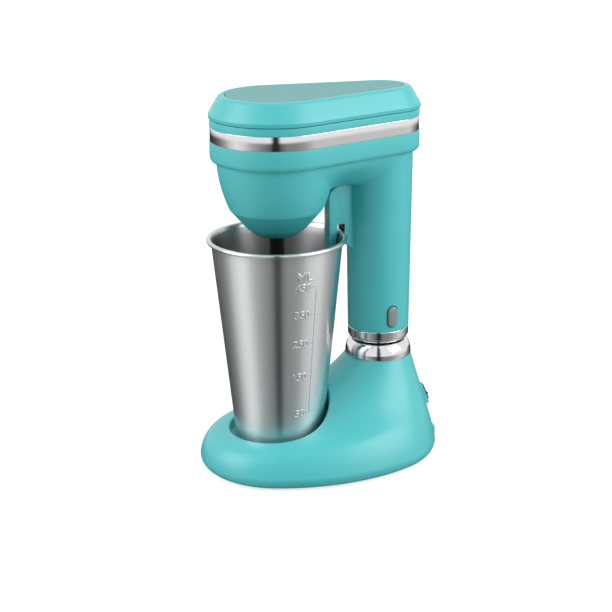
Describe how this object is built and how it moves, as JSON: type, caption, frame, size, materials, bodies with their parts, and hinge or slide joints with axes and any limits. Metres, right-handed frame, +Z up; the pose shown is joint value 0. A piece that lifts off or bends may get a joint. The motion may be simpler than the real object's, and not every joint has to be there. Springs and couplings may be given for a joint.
{
  "type": "milkshake mixer",
  "caption": "Countertop milkshake mixer: a motor head on a round column drives an agitator spindle inside a tapered steel beaker that stands in a recess of the moulded stand.",
  "frame": {"origin": "on the table, under the middle of the object's box", "axes": "+Z up; the front, where the beaker stands, faces -Y; +X is the machine's own left side, with the release button"},
  "size_m": [0.13, 0.1764, 0.2648],
  "materials": {
    "turquoise": "satin moulded turquoise",
    "inlay": "matt grey teal",
    "button": "matt grey",
    "chrome": "bright chrome",
    "beaker": "brushed round",
    "steel": "plain",
    "black": "black",
    "black_plastic": "black",
    "rubber": "black",
    "brass": "plain",
    "winding": "copper winding on a steel core",
    "magnet": "plain",
    "carbon": "carbon",
    "fan": "natural white"
  },
  "bodies": {
    "stand": {"base_shell": "turquoise", "base_plate": "black_plastic", "rubber_feet": "rubber", "base_screws": "steel", "neck_ring": "chrome", "neck_socket": "black_plastic", "contact_block": "black_plastic", "rocker_bezel": "black", "switch_body": "black_plastic", "cord_inlet": "black_plastic"},
    "rocker": {"rocker": "black"},
    "cup": {"cup": "beaker"},
    "head": {"motor_housing": "turquoise", "trim_band": "chrome", "top_cover": "turquoise", "top_plate": "inlay", "cup_hook": "turquoise", "column_collar": "chrome", "column_spigot": "black_plastic", "contact_pins": "brass", "motor_can": "steel", "field_magnets": "magnet", "motor_mount": "steel", "motor_dampers": "rubber", "motor_screws": "steel", "motor_end_cap": "black_plastic", "carbon_brushes": "carbon", "upper_bearing": "brass", "can_bearing": "brass", "lower_bearing": "brass", "shaft_seal": "rubber", "cover_screws": "steel"},
    "spindle": {"armature": "winding", "motor_shaft": "steel", "cooling_fan": "fan", "shaft_coupling": "black_plastic", "spindle_shaft": "steel", "spindle_collar": "black", "agitator_disc": "steel"},
    "button": {"release_button": "button", "latch_slide": "black_plastic", "button_spring": "steel"}
  },
  "joints": [
    {"name": "head_lift", "type": "slide", "parent": "stand", "child": "head", "axis": [0, 0, 1], "range_m": [0, 0.145]},
    {"name": "spindle_spin", "type": "hinge", "parent": "head", "child": "spindle", "pos_m": [0, -0.03155, 0.1], "axis": [0, 0, 1], "continuous": true},
    {"name": "button_press", "type": "slide", "parent": "head", "child": "button", "axis": [-1, 0, 0], "range_m": [0, 0.0022], "stiffness_N_per_m": 600, "springref_m": -0.002, "deforming": ["button_spring"]},
    {"name": "rocker_tilt", "type": "hinge", "parent": "stand", "child": "rocker", "pos_m": [0, 0.07969, 0.03583], "axis": [-1, 0, 0], "range_deg": [0, 16]},
    {"name": "cup_lift", "type": "slide", "parent": "stand", "child": "cup", "axis": [0, 0, 1], "range_m": [0, 0.003]}
  ]
}
